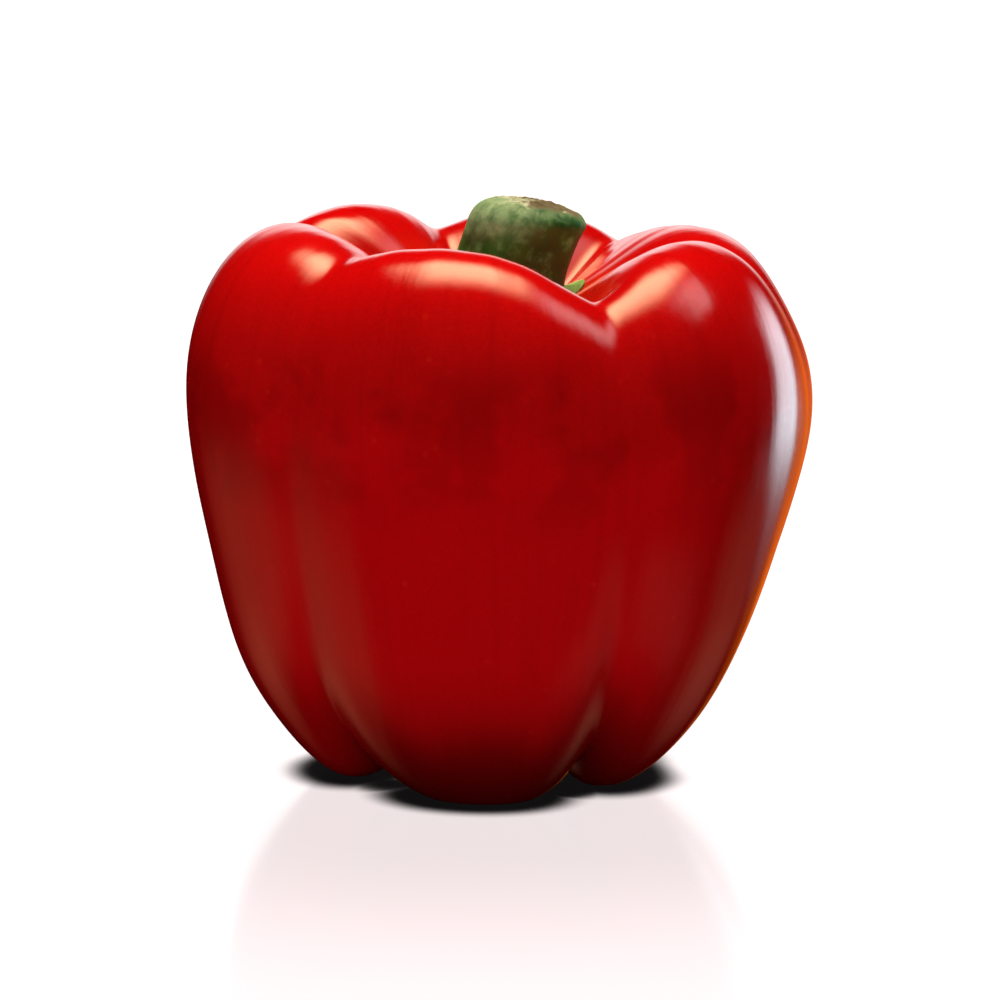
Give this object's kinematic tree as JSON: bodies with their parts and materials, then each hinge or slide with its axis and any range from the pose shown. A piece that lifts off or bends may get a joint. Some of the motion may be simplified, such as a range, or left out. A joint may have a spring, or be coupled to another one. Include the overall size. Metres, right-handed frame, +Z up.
{
  "type": "bell pepper",
  "caption": "Whole red bell pepper with a lobed glossy body, sunken crown, green calyx and cut green stem, standing upright on its feet.",
  "frame": {"origin": "on the surface that the pepper stands on, under the middle of its bounding box", "axes": "+Z up along the fruit's core towards the stem; -Y is the front, the side that the picture shows; +X is the side that the stem leans to and the widest direction"},
  "size_m": [0.0898, 0.0848, 0.0837],
  "materials": {
    "red_skin": "gloss",
    "calyx_green": "satin",
    "stem_green": "satin"
  },
  "bodies": {
    "root": {"fruit": "red_skin", "calyx": "calyx_green", "stem": "stem_green"}
  },
  "joints": []
}
